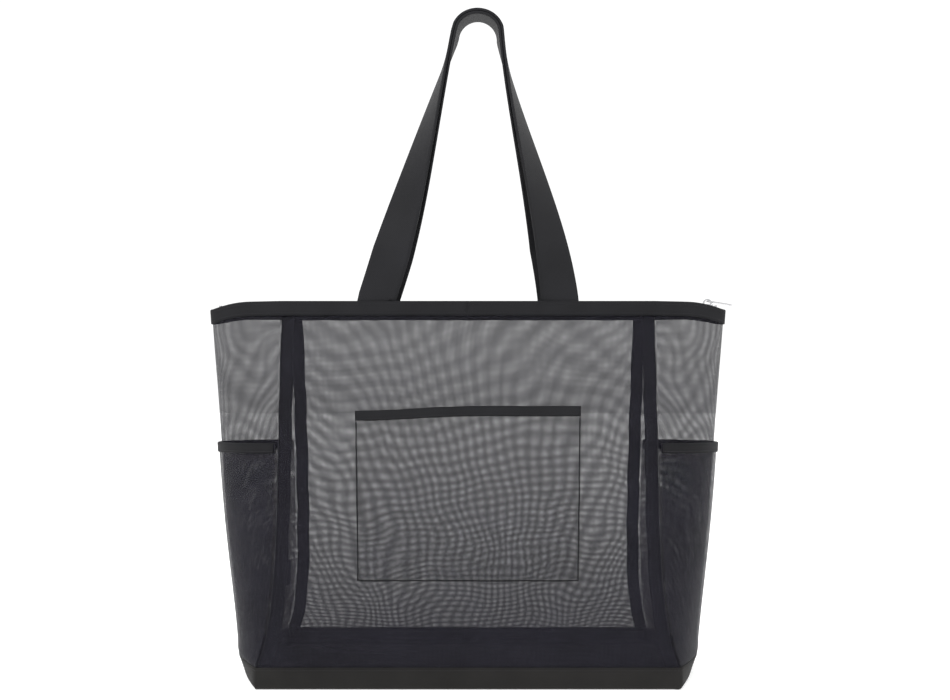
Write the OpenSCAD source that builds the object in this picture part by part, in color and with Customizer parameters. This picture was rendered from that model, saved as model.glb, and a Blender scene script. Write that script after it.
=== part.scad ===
// Mesh zip-top beach bag. Millimetres, +Z up, front towards -Y.
// The origin is under the middle of the base. Every piece is a layer laid on
// one skin: the outer face of the mesh walls, given by half_w, half_d and crest.

/* [Bag] */
// Width of the base, seam to seam, over its rim
base_w = 400; // [320:5:480]
// Depth of the base, over its rim
base_d = 152.5; // [125:2.5:190]
// Height of the front and back walls
height = 370; // [300:5:450]
// Width of the front and back walls at the top, seam to seam
top_w = 374; // [300:2:450]
// Gap from front wall to back wall at the top
mouth_d = 39; // [36:0.5:60]
// How far a gusset's crest stands out beyond its seams at the base
crest_out = 21.8; // [12:0.1:40]
// How much narrower a wall is at its waist than at its top, each side
waist = 3.5; // [0:0.5:10]
// Height over which a wall widens again towards the base
flare_h = 45; // [20:5:80]
// How far a wall bellies in below and out above its middle
belly = 2.5; // [0:0.5:6]
// Roundness of a gusset's crest
crest_round = 0.9; // [0.8:0.1:2]
// How far the tips at the ends of the mouth drop
tip_drop = 6.5; // [0:0.5:9]

/* [Cloth] */
// Thickness of the mesh
mesh_t = 0.8; // [0.4:0.1:1.2]
// Thickness of the woven base fabric
base_t = 1.2; // [0.8:0.1:2]
// Thickness of one layer of hem tape
tape_t = 0.9; // [0.5:0.1:1.2]
// Thickness of a bound seam lying flat
seam_t = 1.6; // [1:0.1:2]
// Space between two sewn layers
layer = 0.15; // [0.1:0.05:0.25]
// Space round a piece that moves
play = 0.3; // [0.25:0.05:0.4]
// Height of the woven rim round the base
rim_h = 20; // [14:1:30]
// Height of the top hem
hem_h = 15; // [12:1:20]
// Width of an upright seam binding
seam_w = 13; // [8:1:18]
// Height of the seam binding round the base
base_seam_h = 12; // [8:1:14]

/* [Pockets] */
// Width of the front pocket at its mouth
pocket_w = 220; // [160:2:270]
// How much narrower the front pocket is at its foot, each side
pocket_taper = 4.5; // [0:0.5:12]
// Height of the front pocket's bottom stitch above the floor
pocket_z = 98; // [40:2:120]
// Height of the front pocket
pocket_h = 166; // [120:2:200]
// How far the front pocket's mouth stands open
pocket_gape = 12; // [8:1:16]
// Height of a side pocket's mouth above the floor
side_pocket_top = 228; // [150:2:260]
// How far each half of a side pocket bows out at its mouth
side_pocket_gape = 9; // [7:0.5:12]
// Height of a pocket's top binding
pocket_binding_h = 10; // [7:1:14]

/* [Handles] */
// Width of the webbing
webbing_w = 38; // [25:1:45]
// Thickness of the webbing
webbing_t = 1.5; // [1:0.1:2]
// Distance between the middles of a handle's two ends
handle_span = 184; // [140:2:220]
// Height of the top of the handles above the mouth
handle_rise = 296; // [230:2:350]
// Radius of the bend at the top of the front handle
arch_r = 24.5; // [20:0.5:35]
// How far the top of the handles leans to the right
arch_lean = 10; // [-15:1:15]
// Roll of the webbing at the top of the bend
arch_roll = 12; // [8:1:18]

/* [Zip] */
// Thickness of the zip's tape
zip_tape_t = 0.6; // [0.4:0.1:0.8]
// Depth of the zip's tape below the top of the hem
zip_sink = 5; // [4.5:0.25:6]
// Width of one row of coil
coil_w = 2.3; // [1.8:0.1:2.8]
// Height of a row of coil
coil_h = 2.2; // [1.6:0.1:2.6]
// Space between the two rows of coil, where the slider's post runs
coil_gap = 1.3; // [1.2:0.1:1.6]
// Length of the slider
slider_l = 12; // [9:0.5:14]
// Length of the pull from its pivot to its end
pull_l = 26; // [18:1:28]
// Width of the pull
pull_w = 5; // [4:0.5:7]

/* [Hidden] */
$fn = 48;

mesh_grey = "#3a3a3d";
tape_black = "#232325";
webbing_black = "#28282b";
zip_silver = "silver";

base_half_w = base_w / 2 - base_t - layer;
base_half_d = base_d / 2 - base_t - layer;
gusset_half = norm([base_half_d, crest_out]); // half the width of a gusset's cloth
wall_rows = 13;      // bands of cloth between the bottom and the top of a wall
wall_low = rim_h - base_seam_h; // where the mesh starts, inside the rim
gusset_cuts = 5;     // facets in each half of a gusset
seam_step = 0.985;   // where a gusset stops short of its seam, as a share of its half depth
inner_face = mesh_t + layer;    // depth at which a layer inside the mesh starts
hem_gap = 2.5 * layer;          // space between the hem's two legs and the mesh

// Half the width between the seams, half the depth, and the crest, at height z
function half_w(z) = let (mid = top_w / 2 - waist * (1 - z / height))
    mid + (base_half_w - mid) * exp(-max(0, z - rim_h) / flare_h);
function half_d(z) = base_half_d + (mouth_d / 2 - base_half_d) * z / height
    - belly * sin(360 * z / height);
function crest(z) = half_w(z) + sqrt(pow(gusset_half, 2) - pow(half_d(z), 2));

// A gusset in plan: t runs from -1 at the front seam by 0 at the crest to 1
function bow(t) = let (full = sqrt(1 + pow(crest_round, 2)))
    (full - sqrt(t * t + pow(crest_round, 2))) / (full - crest_round);
function gusset_xy(z, t) = [half_w(z) + (crest(z) - half_w(z)) * bow(t), half_d(z) * t];
// The same, set in by depth d along the wall's own normal
function gusset_in(z, t, d) = let (e = 0.01,
        run = gusset_xy(z, min(1, t + e)) - gusset_xy(z, max(-1, t - e)))
    gusset_xy(z, t) + d / norm(run) * [-run[1], run[0]];
function gusset_point(z, t, d) = let (p = gusset_in(z, t, d)) [p[0], p[1], z];
function mix(a, b, u) = a + (b - a) * u;
function ease(u) = let (v = max(0, min(1, u))) v * v * (3 - 2 * v);
// The top edge dips from the seams to the tips
function top_z(t) = height - tip_drop * ease((0.72 - abs(t)) / 0.6);
// Heights of a wall's rows: two inside the rim, one over it, then wider bands upwards
function row_z(i, high) = i < 2 ? mix(wall_low, rim_h, i / 2)
    : mix(rim_h + layer, high, pow((i - 2) / (wall_rows - 2), 1.3));
gusset_ts = [for (i = [-gusset_cuts : gusset_cuts]) seam_step * i / gusset_cuts];

// A closed solid through rings of points. A ring runs along one side of the
// section and back along the other, so each cap is a strip across the ring.
module loft(rings) {
    n = len(rings[0]);
    top = (len(rings) - 1) * n;
    strip = [for (j = [0 : n / 2 - 2]) [j, j + 1, n - 2 - j, n - 1 - j]];
    polyhedron(
        points = [for (ring = rings, p = ring) p],
        faces = concat(
            [for (q = strip) each [[q[0], q[1], q[2]], [q[0], q[2], q[3]]]],
            [for (i = [0 : len(rings) - 2], j = [0 : n - 1]) let (k = (j + 1) % n, a = i * n, b = a + n)
                each [[a + j, b + j, b + k], [a + j, b + k, a + k]]],
            [for (q = strip) each [[top + q[2], top + q[1], top + q[0]],
                [top + q[3], top + q[2], top + q[0]]]]),
        convexity = 6);
}
module to_left() mirror([1, 0, 0]) children();
module to_back() mirror([0, 1, 0]) children();

// ---- walls ----
module wall() {
    loft([for (i = [0 : wall_rows]) let (z = row_z(i, height - tape_t - layer),
            x = half_w(z) - layer, y = -half_d(z))
        [[-x, y, z], [-x, y + mesh_t, z], [x, y + mesh_t, z], [x, y, z]]]);
}
module gusset() {
    loft([for (i = [0 : wall_rows])
        concat(
            [for (t = gusset_ts) gusset_point(row_z(i, top_z(t) - tape_t - layer), t, 0)],
            [for (k = [len(gusset_ts) - 1 : -1 : 0]) let (t = gusset_ts[k])
                gusset_point(row_z(i, top_z(t) - tape_t - layer), t, mesh_t)])]);
}
module front_panel() { color(mesh_grey) wall(); }
module back_panel() { color(mesh_grey) to_back() wall(); }
module right_gusset() { color(mesh_grey) gusset(); }
module left_gusset() { color(mesh_grey) to_left() gusset(); }

// ---- base ----
function base_ring(z, d) = let (
        ts = concat([-1], gusset_ts, [1]),
        right = [for (t = ts) gusset_in(z, t, d)])
    concat(
        [for (p = right) [p[0], p[1], 0]],
        [for (k = [len(right) - 1 : -1 : 0]) [-right[k][0], right[k][1], 0]]);
function raised(ring, z) = [for (p = ring) [p[0], p[1], z]];
module base_panel() {
    outside = -base_t - layer;
    inside = -2 * layer;
    rim = [for (i = [0 : 2]) mix(wall_low, rim_h, i / 2)];
    color(tape_black) loft(concat(
        [raised(base_ring(0, outside), 0)],
        [for (i = [0 : 2]) raised(base_ring(rim[i], outside), rim[i])],
        [for (i = [2 : -1 : 0]) raised(base_ring(rim[i], inside), rim[i])],
        [raised(base_ring(base_t, inside), base_t)]));
}

// ---- seam bindings ----
module upright_seam() {
    high = height - hem_h - layer;
    loft([for (i = [2 : wall_rows]) let (z = row_z(i, high),
            x = half_w(z) - 1, y = -half_d(z) + inner_face)
        [[x - seam_w, y, z], [x - seam_w, y + seam_t, z], [x, y + seam_t, z], [x, y, z]]]);
}
module front_right_seam() { color(tape_black) upright_seam(); }
module front_left_seam() { color(tape_black) to_left() upright_seam(); }
module back_right_seam() { color(tape_black) to_back() upright_seam(); }
module back_left_seam() { color(tape_black) to_back() to_left() upright_seam(); }

module long_base_seam() {
    low = wall_low;
    high = rim_h - layer;
    x = base_half_w - 1;
    loft([for (s = [-1, 1])
        [for (c = [[low, 0], [low, seam_t], [high, seam_t], [high, 0]])
            [s * x, -half_d(c[0]) + inner_face + c[1], c[0]]]]);
}
module short_base_seam() {
    low = wall_low;
    high = rim_h - layer;
    loft([for (t = gusset_ts) if (abs(t) < 0.9)
        [gusset_point(low, t, inner_face), gusset_point(low, t, inner_face + seam_t),
            gusset_point(high, t, inner_face + seam_t), gusset_point(high, t, inner_face)]]);
}
module front_base_seam() { color(tape_black) long_base_seam(); }
module back_base_seam() { color(tape_black) to_back() long_base_seam(); }
module right_base_seam() { color(tape_black) short_base_seam(); }
module left_base_seam() { color(tape_black) to_left() short_base_seam(); }

// ---- pockets ----
// Depth of a pocket's inner face outside the wall, from s = 0 at its foot to 1 at its mouth
function pocket_lift(s, gape, across) = play + (tape_t + layer) * s + gape * sqrt(s) * across;
// Heights of a pocket's rows, with one at the foot of its binding
function pocket_rows(foot, top) = let (n = 7, binding_foot = top + layer - pocket_binding_h)
    concat([for (i = [0 : n]) foot + (binding_foot - foot) * i / n], [top]);
function lens(t) = 6.75 * t * t * (1 - abs(t));
side_foot = rim_h + layer;
function side_lift(z, t) = pocket_lift((z - side_foot) / (side_pocket_top - side_foot),
    side_pocket_gape, lens(t));
module side_pocket() {
    loft([for (z = pocket_rows(side_foot, side_pocket_top))
        concat(
            [for (t = gusset_ts) gusset_point(z, t, -side_lift(z, t) - mesh_t)],
            [for (k = [len(gusset_ts) - 1 : -1 : 0]) let (t = gusset_ts[k])
                gusset_point(z, t, -side_lift(z, t))])]);
}
function front_lift(z, x) = pocket_lift((z - pocket_z) / pocket_h, pocket_gape,
    1 - pow(2 * x / pocket_w, 2));
function front_point(z, x, d) = let (s = max(0, min(1, (z - pocket_z) / pocket_h)))
    [x * (1 - (1 - s) * 2 * pocket_taper / pocket_w), -half_d(z) - d, z];
pocket_xs = [for (i = [-6 : 6]) pocket_w / 12 * i];
module front_pocket() {
    color(mesh_grey) loft([for (z = pocket_rows(pocket_z, pocket_z + pocket_h))
        concat(
            [for (x = pocket_xs) front_point(z, x, front_lift(z, x) + mesh_t)],
            [for (k = [len(pocket_xs) - 1 : -1 : 0]) let (x = pocket_xs[k])
                front_point(z, x, front_lift(z, x))])]);
}
module right_side_pocket() { color(mesh_grey) side_pocket(); }
module left_side_pocket() { color(mesh_grey) to_left() side_pocket(); }

// The two legs of a tape folded over an edge, as [height, depth] from the edge
function folded(low, high, out, in) = [
    [low, out + tape_t], [high + tape_t, out + tape_t],
    [high + tape_t, in - tape_t], [low, in - tape_t],
    [low, in], [high, in], [high, out], [low, out]];
module side_pocket_binding() {
    high = side_pocket_top + layer;
    low = high - pocket_binding_h;
    loft([for (t = gusset_ts)
        [for (c = folded(low, high, mesh_t + layer, -layer))
            gusset_point(c[0], t, -side_lift(min(c[0], side_pocket_top), t) - c[1])]]);
}
module right_pocket_binding() { color(tape_black) side_pocket_binding(); }
module left_pocket_binding() { color(tape_black) to_left() side_pocket_binding(); }
module front_pocket_binding() {
    high = pocket_z + pocket_h + layer;
    low = high - pocket_binding_h;
    color(tape_black) loft([for (x = pocket_xs)
        [for (c = folded(low, high, mesh_t + layer, -layer))
            front_point(c[0], x, front_lift(min(c[0], high - layer), x) + c[1])]]);
}

// ---- top hem ----
function hem_ring(points_at, top) =
    [for (c = folded(top - hem_h, top - tape_t, hem_gap, -mesh_t - hem_gap)) points_at(c[0], -c[1])];
module top_hem() {
    right = [for (i = [0 : gusset_cuts]) let (t = -gusset_ts[gusset_cuts + i])
        hem_ring(function (z, d) gusset_point(z, t, d), top_z(t))];
    flat = half_w(height) - 2;
    middle = [for (x = [flat, -flat])
        hem_ring(function (z, d) [x, -half_d(z) + d, z], height)];
    left = [for (k = [len(right) - 1 : -1 : 0]) [for (p = right[k]) [-p[0], p[1], p[2]]]];
    loft(concat(right, middle, left));
}
module front_top_hem() { color(tape_black) top_hem(); }
module back_top_hem() { color(tape_black) to_back() top_hem(); }

// ---- handles ----
strap_in = inner_face + tape_t + play;     // depth of the webbing's outer face
strap_y = -mouth_d / 2 + strap_in + webbing_t / 2;
handle_base = height + 0.4;                // where the free webbing starts
nest = webbing_t + 1.5;                    // the back handle's bend lies this far inside the front's
arch_z = height + handle_rise - arch_r;    // where the legs end and the bend starts
leg_cuts = 28;
arch_cuts = 16;
// How a leg turns: the rise at which it starts, and the power of the rise that it follows
left_turn = [50, 0.8];
front_right_turn = [2, 0.8];
back_right_turn = [60, 0.6];

// How far a leg leans from upright where the bend starts
function leg_tilt(s) = s < 0 ? 17 : 9;
// A leg's middle line, from its seam at u = 0 to the bend at 1. s is -1 left, 1 right
function leg_point(s, u, y, r) = let (
        x0 = s * handle_span / 2, x1 = arch_lean + s * r * cos(leg_tilt(s)),
        z1 = arch_z + r * sin(leg_tilt(s)),
        slope0 = (x1 - x0) * (s < 0 ? 1.15 : 0.43),
        slope1 = -s * (z1 - handle_base) * tan(leg_tilt(s)),
        h1 = u * u * (3 - 2 * u), h2 = u * (1 - u) * (1 - u), h3 = u * u * (u - 1))
    [mix(x0, x1, h1) + slope0 * h2 + slope1 * h3, y * (1 - ease(u)), mix(handle_base, z1, u)];
function leg_turn(rise, turn) =
    90 * pow(max(0, min(1, (rise - turn[0]) / (arch_z - height - turn[0]))), turn[1]);
function cross_ring(p, along, across) = let (
        t = along / norm(along),
        w0 = across - (across * t) * t,
        w = w0 / norm(w0) * webbing_w / 2,
        n = cross(t, w) / norm(w) * webbing_t / 2)
    [p - w - n, p + w - n, p + w + n, p - w + n];
// Rings of one leg from its foot upwards
function leg_rings(s, y, r, turn) = [for (i = [0 : leg_cuts]) let (
        u = i / leg_cuts, e = 0.01,
        p = leg_point(s, u, y, r),
        along = i == 0 ? [0, 0, 1] : leg_point(s, min(1, u + e), y, r) - leg_point(s, u - e, y, r),
        a = leg_turn(p[2] - height, turn))
    cross_ring(p, along, [-s * cos(a), -sin(a), 0])];
function arch_rings(r) = [for (i = [1 : arch_cuts - 1]) let (
        a = mix(180 - leg_tilt(-1), leg_tilt(1), i / arch_cuts),
        roll = arch_roll * sin(180 * i / arch_cuts))
    cross_ring([arch_lean + r * cos(a), 0, arch_z + r * sin(a)], [sin(a), 0, -cos(a)],
        [0, -cos(roll), 0] + sin(roll) * [-cos(a), 0, -sin(a)])];
module handle_loop(y, r, right_turn) {
    down = leg_rings(1, y, r, right_turn);
    loft(concat(
        leg_rings(-1, y, r, left_turn),
        arch_rings(r),
        [for (k = [leg_cuts : -1 : 0]) [down[k][3], down[k][2], down[k][1], down[k][0]]]));
}
module handle_end_pair() {
    high = handle_base - play;
    low = height - hem_h + 1;
    for (s = [-1, 1])
        translate([s * handle_span / 2 - webbing_w / 2, strap_y - webbing_t / 2, low])
            cube([webbing_w, webbing_t, high - low]);
}
module front_handle() { color(webbing_black) handle_loop(strap_y, arch_r, front_right_turn); }
module back_handle() { color(webbing_black) handle_loop(-strap_y, arch_r - nest, back_right_turn); }
module front_handle_ends() { color(webbing_black) handle_end_pair(); }
module back_handle_ends() { color(webbing_black) to_back() handle_end_pair(); }

// ---- zip ----
zip_z = height - zip_sink;                 // top face of the zip's tape
flap_end = half_w(height) - 1;             // the folding part of the tape stops here, each side
edge_y = strap_y + webbing_t / 2 + layer;  // the sewn edge of the tape lies behind the webbing
hinge_y = edge_y + zip_tape_t + 0.85;      // the tape folds down about this line
chain_end = crest(height) - 11;            // the coil stops here, each side
park = chain_end - slider_l / 2 - 1;       // the slider's place when the zip is shut
module zip_edge() {
    h = hem_h - zip_sink;
    translate([-flap_end, edge_y, zip_z - zip_tape_t - play - h])
        cube([2 * flap_end, zip_tape_t, h]);
}
module zip_flap() {
    translate([-flap_end, hinge_y, zip_z - zip_tape_t])
        cube([2 * flap_end, -coil_gap / 2 - hinge_y, zip_tape_t]);
}
module coil_row(from, to) {
    translate([from, -coil_gap / 2 - coil_w, zip_z])
        cube([to - from, coil_w, coil_h]);
}
module zip_end_half() {
    hem_depth = inner_face + tape_t + play;
    far = 0.24;
    edge = [for (i = [0 : 8]) gusset_in(height, -mix(seam_step, far, i / 8), hem_depth)];
    translate([0, 0, zip_z - zip_tape_t])
        linear_extrude(zip_tape_t)
            polygon(concat(
                [[flap_end + play, -coil_gap / 2], [flap_end + play, edge[0][1]]],
                [for (p = edge) if (p[0] > flap_end + play) p],
                [[edge[8][0], -coil_gap / 2]]));
}
module zip_end() {
    zip_end_half();
    to_back() zip_end_half();
}
module end_coil() {
    coil_row(flap_end + play, chain_end);
    to_back() coil_row(flap_end + play, chain_end);
}
module front_zip_edge() { color(tape_black) zip_edge(); }
module back_zip_edge() { color(tape_black) to_back() zip_edge(); }
module front_zip_tape() { color(tape_black) zip_flap(); }
module back_zip_tape() { color(tape_black) to_back() zip_flap(); }
module front_zip_coil() { color(tape_black) coil_row(-flap_end, flap_end); }
module back_zip_coil() { color(tape_black) to_back() coil_row(-flap_end, flap_end); }
module right_zip_end() { color(tape_black) zip_end(); }
module left_zip_end() { color(tape_black) to_left() zip_end(); }
module right_end_coil() { color(tape_black) end_coil(); }
module left_end_coil() { color(tape_black) to_left() end_coil(); }
module zip_stops() {
    stop_l = 2;
    stop_w = coil_gap + 2 * coil_w;
    color(zip_silver) for (s = [-1, 1])
        translate([s * (chain_end + layer + stop_l / 2) - stop_l / 2, -stop_w / 2, zip_z])
            cube([stop_l, stop_w, coil_h + 0.3]);
}

// ---- slider and pull ----
plate_t = 1.1;
flange_t = 1.1;
slider_w = coil_gap + 2 * (coil_w + play + flange_t);
slider_top = zip_z + coil_h + play + plate_t;
bridge_r = 3.1;         // inside radius of the bridge
bridge_t = 1.2;
bridge_w = 2.2;
bridge_lift = 1.5;      // straight part of the bridge below its bend
pin_r = 0.7;            // the bar of the pull that lies under the bridge
pivot = [park, 0, slider_top + 3.4];
pull_t = 1;
pull_dip = 9;           // the pull lies this many degrees below level
module plate(z) {
    nose = slider_w / 2 - 0.9;
    translate([park, 0, z]) linear_extrude(plate_t) union() {
        translate([-slider_l / 2, -slider_w / 2]) square([slider_l - nose, slider_w]);
        translate([slider_l / 2 - nose, 0]) scale(nose / (slider_w / 2)) circle(slider_w / 2);
        translate([slider_l / 2 - nose - 0.01, -nose]) square([0.01, 2 * nose]);
    }
}
module zip_slider() {
    low = zip_z - zip_tape_t - play - plate_t;
    flange_h = coil_h;
    post_w = coil_gap - 2 * play;
    color(zip_silver) {
        plate(low);
        plate(slider_top - plate_t);
        for (s = [-1, 1])
            translate([park - slider_l / 2 + 1, s * (slider_w - flange_t) / 2 - flange_t / 2,
                    slider_top - plate_t - flange_h + play])
                cube([slider_l - 4.5, flange_t, flange_h]);
        translate([park + slider_l / 2 - 4, -post_w / 2, low]) cube([3, post_w, slider_top - low]);
        translate([park, bridge_w / 2, slider_top - 0.01]) rotate([90, 0, 0])
            linear_extrude(bridge_w) difference() {
                union() {
                    translate([0, bridge_lift]) circle(bridge_r + bridge_t);
                    translate([-bridge_r - bridge_t, 0])
                        square([2 * (bridge_r + bridge_t), bridge_lift]);
                }
                translate([0, bridge_lift]) circle(bridge_r);
                translate([-bridge_r, -1]) square([2 * bridge_r, bridge_lift + 1]);
                translate([-10, -20]) square([20, 20]);
            }
    }
}
module zip_pull() {
    cheek = 1.1;        // metal each side of the slot
    slot_l = 6.5;
    bar_l = pull_w - 0.2;
    color(zip_silver) translate(pivot) rotate([0, pull_dip, 0]) {
        rotate([90, 0, 0]) cylinder(r = pin_r, h = bar_l, center = true);
        translate([0, 0, -pull_t / 2]) linear_extrude(pull_t) difference() {
            union() {
                translate([0, -pull_w / 2]) square([pull_l - pull_w / 2, pull_w]);
                translate([pull_l - pull_w / 2, 0]) circle(pull_w / 2);
            }
            translate([-1, -pull_w / 2 + cheek]) square([slot_l + 1, pull_w - 2 * cheek]);
            translate([pull_l - pull_w / 2, 0]) circle(1.2);
        }
    }
}

// ---- label ----
module label_tab() {
    low = 70;
    high = 98;
    label_t = 0.7;
    depth = inner_face + layer;
    color(tape_black) to_left() to_back() loft([for (t = [-0.93, -0.81])
        [gusset_point(low, t, depth), gusset_point(low, t, depth + label_t),
            gusset_point(high, t, depth + label_t), gusset_point(high, t, depth)]]);
}

front_panel();
back_panel();
left_gusset();
right_gusset();
base_panel();
front_pocket();
left_side_pocket();
right_side_pocket();
front_pocket_binding();
left_pocket_binding();
right_pocket_binding();
front_left_seam();
front_right_seam();
back_left_seam();
back_right_seam();
front_base_seam();
back_base_seam();
left_base_seam();
right_base_seam();
front_top_hem();
back_top_hem();
front_handle();
back_handle();
front_handle_ends();
back_handle_ends();
front_zip_edge();
back_zip_edge();
front_zip_tape();
back_zip_tape();
front_zip_coil();
back_zip_coil();
left_zip_end();
right_zip_end();
left_end_coil();
right_end_coil();
zip_stops();
zip_slider();
zip_pull();
label_tab();
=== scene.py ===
"""A mesh beach bag with a zip top. Sizes in millimetres, made into metres as a mesh is built."""

import math

import bmesh
import bpy
import numpy as np
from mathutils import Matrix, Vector


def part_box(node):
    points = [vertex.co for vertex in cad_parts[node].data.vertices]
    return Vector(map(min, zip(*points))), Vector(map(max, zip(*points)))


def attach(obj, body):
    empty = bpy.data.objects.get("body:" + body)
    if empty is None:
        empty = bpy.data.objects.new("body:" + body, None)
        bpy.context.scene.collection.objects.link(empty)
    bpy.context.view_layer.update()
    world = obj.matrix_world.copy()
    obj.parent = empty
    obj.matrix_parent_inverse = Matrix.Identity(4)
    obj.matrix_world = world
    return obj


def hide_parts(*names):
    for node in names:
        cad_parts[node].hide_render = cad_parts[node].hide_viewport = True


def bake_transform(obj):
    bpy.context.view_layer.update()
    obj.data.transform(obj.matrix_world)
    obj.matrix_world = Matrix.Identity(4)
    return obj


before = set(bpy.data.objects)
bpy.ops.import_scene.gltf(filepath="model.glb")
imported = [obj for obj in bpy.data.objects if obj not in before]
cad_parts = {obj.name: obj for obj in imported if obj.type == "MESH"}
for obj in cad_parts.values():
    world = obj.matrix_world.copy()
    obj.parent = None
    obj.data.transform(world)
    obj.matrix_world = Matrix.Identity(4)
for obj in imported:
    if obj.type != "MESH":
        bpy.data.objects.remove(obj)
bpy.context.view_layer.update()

MM = 0.001

# Layer sizes that the CAD part was built with
MESH_T = 0.8
BASE_T = 1.2
TAPE_T = 0.9
SEAM_T = 1.6
LAYER = 0.15
PLAY = 0.3
CREST_ROUND = 0.9
SEAM_STEP = 0.985  # where a gusset stops short of its seam, as a share of its half depth
INNER = MESH_T + LAYER  # depth of the first layer inside the mesh

CLOTH_PERIOD = 1.17  # from one thread of the mesh to the next
THREAD_DRIFT = 7.0  # how far a thread of the mesh strays over the cloth, side to side
DRIFT_SCALE = 0.011  # swells of that straying to a millimetre
THREAD_EDGE = 0.19  # half the soft edge of a thread, as a share of the period
BIG_BAKE = 1024 / 3 * CLOTH_PERIOD  # cloth to a bake's side, for three pixels to a thread
SMALL_BAKE = 512 / 2.5 * CLOTH_PERIOD  # the same for a small piece
SHARE_TOP, SHARE_LOW_PAINTED_SHADE = 0.36, 0.6  # how much of the period a thread covers, high up and low down; the wider share low down is painted shade that darkens the mesh towards the bottom


# ---- the skin, read from the CAD nodes ----
def corners_of(node):
    """A node's vertices in millimetres."""
    return np.array([v.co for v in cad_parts[node].data.vertices], float) / MM


def box_of(node):
    low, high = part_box(node)
    return np.array(low) / MM, np.array(high) / MM


def curve_through(xs, ys):
    """A smooth function through the points, straight beyond their ends."""
    xs, ys = np.array(xs, float), np.array(ys, float)
    slopes = np.gradient(ys, xs)

    def at(x):
        x = np.asarray(x, float)
        c = np.clip(x, xs[0], xs[-1])
        i = np.clip(np.searchsorted(xs, c) - 1, 0, len(xs) - 2)
        h = xs[i + 1] - xs[i]
        t = (c - xs[i]) / h
        y = (2 * t**3 - 3 * t**2 + 1) * ys[i] + (t**3 - 2 * t**2 + t) * h * slopes[i]
        y = y + (3 * t**2 - 2 * t**3) * ys[i + 1] + (t**3 - t**2) * h * slopes[i + 1]
        return y + np.minimum(x - xs[0], 0) * slopes[0] + np.maximum(x - xs[-1], 0) * slopes[-1]

    return at


def rows_of(points, axis):
    """The largest value on an axis at each height, as (heights, values)."""
    heights = np.unique(points[:, 2].round(2))
    heights = heights[np.diff(heights, prepend=-9) > 1]
    return heights, [points[np.abs(points[:, 2] - z) < 0.02][:, axis].max() for z in heights]


panel_points = corners_of("front_panel")
row_z, row_x = rows_of(panel_points, 0)
half_w = curve_through(row_z, np.array(row_x) + LAYER)
half_d = curve_through(*rows_of(panel_points * [1, -1, 1], 1))
gusset_points = corners_of("right_gusset")
crest = curve_through(*rows_of(gusset_points[np.abs(gusset_points[:, 1]) < 0.05], 0))

HEIGHT = box_of("front_top_hem")[1][2]
WALL_LOW = box_of("front_panel")[0][2]
RIM_H = box_of("base_panel")[1][2]
HEM_H = 15.0
HEM_GAP = 0.375  # between the mesh and each leg of the hem
TIP_DROP = 6.5
CLOTH_DROP = TAPE_T + LAYER + 0.2  # from the top of the hem down to the mesh's edge


def ease(u):
    v = np.clip(u, 0, 1)
    return v * v * (3 - 2 * v)


def top_z(t):
    """The top edge dips from the seams to the tips."""
    return HEIGHT - TIP_DROP * ease((0.72 - np.abs(t)) / 0.6)


def bow(t):
    full = math.hypot(1, CREST_ROUND)
    return (full - np.hypot(t, CREST_ROUND)) / (full - CREST_ROUND)


def gusset_plan(z, t):
    return np.stack([half_w(z) + (crest(z) - half_w(z)) * bow(t), half_d(z) * t], -1)


def wall_wave(x, z, side):
    """How far the cloth of a wall stands out beyond its even shape: nothing at its seams and edges."""
    u = x / half_w(z)
    w = np.clip(z / HEIGHT, 0, 1)
    held = np.clip(1 - u**4, 0, 1)
    rise = np.sin(math.pi * w)
    slow = np.sin(2.3 * u + 4.1 * w + side) + 0.6 * np.sin(5.2 * u - 3.3 * w + 2 * side + 1)
    under_hem = np.sin(0.5 + 17 * u * (1 - 0.35 * w) + side) * np.exp(-(((1 - w) / 0.2) ** 2))
    over_rim = np.sin(21 * (w - 0.5 * np.abs(u)) + side) * np.exp(-(((w - 0.15) / 0.1) ** 2)) * np.abs(u)
    return held * rise * (0.75 * slow + 0.8 * under_hem + 1.1 * over_rim)


def wall_at(x, z, depth, side):
    """A point of the front wall (side -1) or the back wall (1), at a depth inside its outer face."""
    x, z, depth = np.broadcast_arrays(*(np.asarray(v, float) for v in (x, z, depth)))
    y = half_d(z) - depth + wall_wave(x, z, side)
    return np.stack([x, side * y, z], -1)


def gusset_wave(z, t, side):
    w = z / HEIGHT
    held = np.clip(1 - np.abs(t) ** 3, 0, 1) * np.clip(np.sin(math.pi * np.clip(w, 0, 1)), 0, 1)
    return held * (0.8 * np.sin(4.6 * t + 5.3 * w + side) + 0.5 * np.sin(9 * w - 3 * t + 2 * side))


def gusset_at(z, t, depth, side):
    """A point of the right gusset (side 1) or the left one (-1), t from -1 at the front seam to 1."""
    z, t, depth = np.broadcast_arrays(*(np.asarray(v, float) for v in (z, t, depth)))
    step = 0.01
    run = gusset_plan(z, t + step) - gusset_plan(z, t - step)
    normal = np.stack([-run[..., 1], run[..., 0]], -1) / np.linalg.norm(run, axis=-1)[..., None]
    p = gusset_plan(z, t) + (depth - gusset_wave(z, t, side))[..., None] * normal
    return np.stack([side * p[..., 0], p[..., 1], z], -1)


# ---- mesh building ----
def area_under(values, at):
    return float(((values[1:] + values[:-1]) / 2 * np.diff(at)).sum())


def arc_lengths(points, axis):
    """Distance along a grid of points on one axis, from its first row or column."""
    steps = np.linalg.norm(np.diff(points, axis=axis), axis=-1)
    total = np.cumsum(steps, axis=axis)
    zero = np.zeros_like(np.take(total, [0], axis=axis))
    return np.concatenate([zero, total], axis=axis)


def make_object(name, verts, faces, material, body, smooth=True):
    me = bpy.data.meshes.new(name)
    me.from_pydata([tuple(p) for p in np.asarray(verts) * MM], [], faces)
    me.polygons.foreach_set("use_smooth", [smooth] * len(me.polygons))
    me.update()
    ob = bpy.data.objects.new(name, me)
    bpy.context.scene.collection.objects.link(ob)
    me.materials.append(material)
    if body:
        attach(ob, body)
    return ob


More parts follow.
